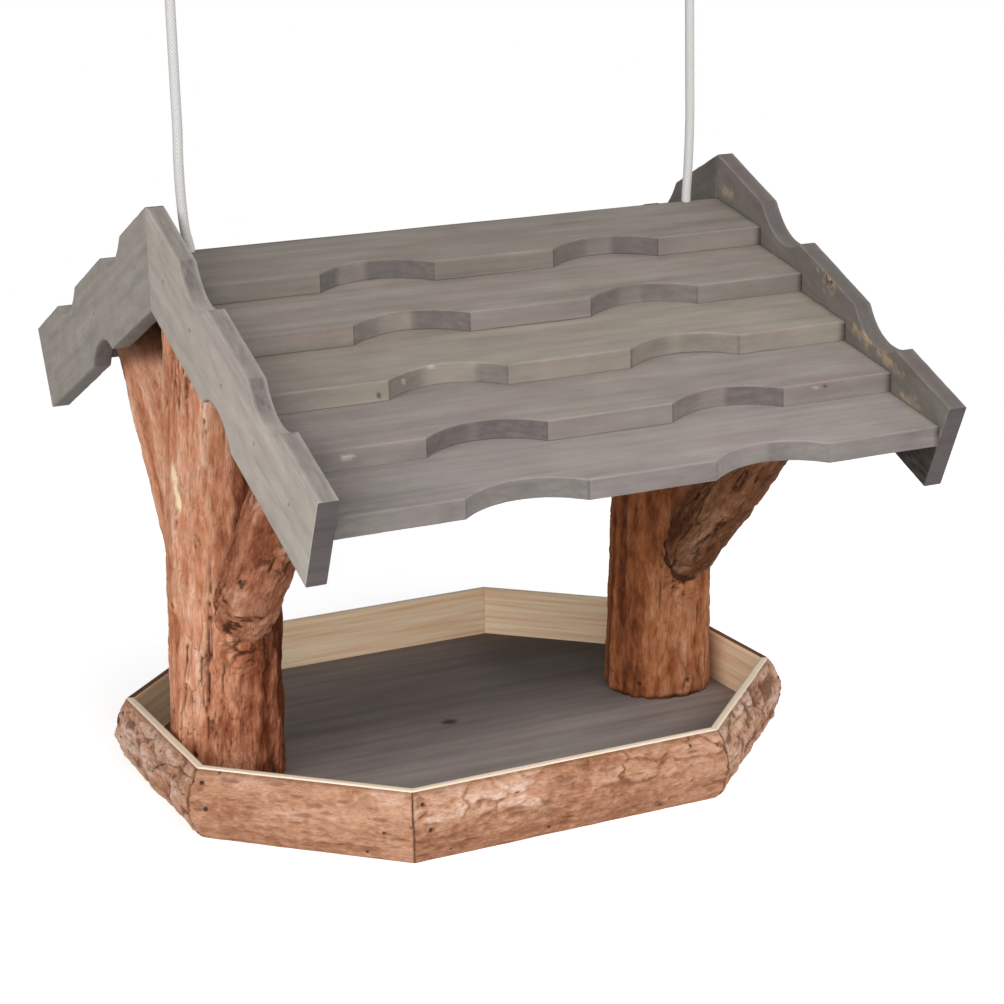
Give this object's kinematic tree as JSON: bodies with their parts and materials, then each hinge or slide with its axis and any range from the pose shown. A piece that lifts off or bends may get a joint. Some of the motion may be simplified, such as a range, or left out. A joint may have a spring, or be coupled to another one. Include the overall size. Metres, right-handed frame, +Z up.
{
  "type": "bird feeder",
  "caption": "House-shaped hanging bird feeder: gabled roof of lapped scalloped boards on bark posts over an open bark-rimmed tray, hung by cords from the ridge.",
  "frame": {"origin": "centre of the tray's underside, on the surface the tray stands on", "axes": "+X along the ridge to the right, +Y to the back slope, +Z up"},
  "size_m": [0.4185, 0.516, 0.555],
  "materials": {
    "stained_board": "worn grey stain",
    "stained_gable": "worn grey stain",
    "stained_floor": "dark grey stain",
    "slab_bark": "pine bark",
    "branch_bark": "pine bark",
    "steel_brad": "plain",
    "steel_nail": "plain",
    "steel_screw": "zinc",
    "cord_braid": "braided"
  },
  "bodies": {
    "house": {"floor_plate": "stained_floor", "rim_slab_right": "slab_bark", "rim_slab_back_right": "slab_bark", "rim_slab_back": "slab_bark", "rim_slab_back_left": "slab_bark", "rim_slab_left": "slab_bark", "rim_slab_front_left": "slab_bark", "rim_slab_front": "slab_bark", "rim_slab_front_right": "slab_bark", "rim_brads": "steel_brad", "trunk_left": "branch_bark", "trunk_right": "branch_bark", "brace_left_front": "branch_bark", "brace_left_back": "branch_bark", "brace_right_front": "branch_bark", "brace_right_back": "branch_bark", "brace_nails": "steel_nail", "post_screws": "steel_screw", "roof_board_front_1": "stained_board", "roof_board_front_2": "stained_board", "roof_board_front_3": "stained_board", "roof_board_front_4": "stained_board", "roof_board_front_5": "stained_board", "roof_board_back_1": "stained_board", "roof_board_back_2": "stained_board", "roof_board_back_3": "stained_board", "roof_board_back_4": "stained_board", "roof_board_back_5": "stained_board", "gable_left_front": "stained_gable", "gable_left_back": "stained_gable", "gable_right_front": "stained_gable", "gable_right_back": "stained_gable", "gable_brads": "steel_brad", "roof_brads": "steel_brad", "roof_nails": "steel_nail", "cord_anchor_left": "cord_braid", "cord_anchor_right": "cord_braid"},
    "left_cord": {"cord_left": "cord_braid", "cord_knot_left": "cord_braid"},
    "right_cord": {"cord_right": "cord_braid", "cord_knot_right": "cord_braid"}
  },
  "joints": [
    {"name": "left_cord_swing", "type": "hinge", "parent": "house", "child": "left_cord", "pos_m": [-0.1615, 0, 0.342], "axis": [1, 0, 0], "range_deg": [-35, 35]},
    {"name": "right_cord_swing", "type": "hinge", "parent": "house", "child": "right_cord", "pos_m": [0.1765, 0, 0.342], "axis": [1, 0, 0], "range_deg": [-35, 35]}
  ]
}
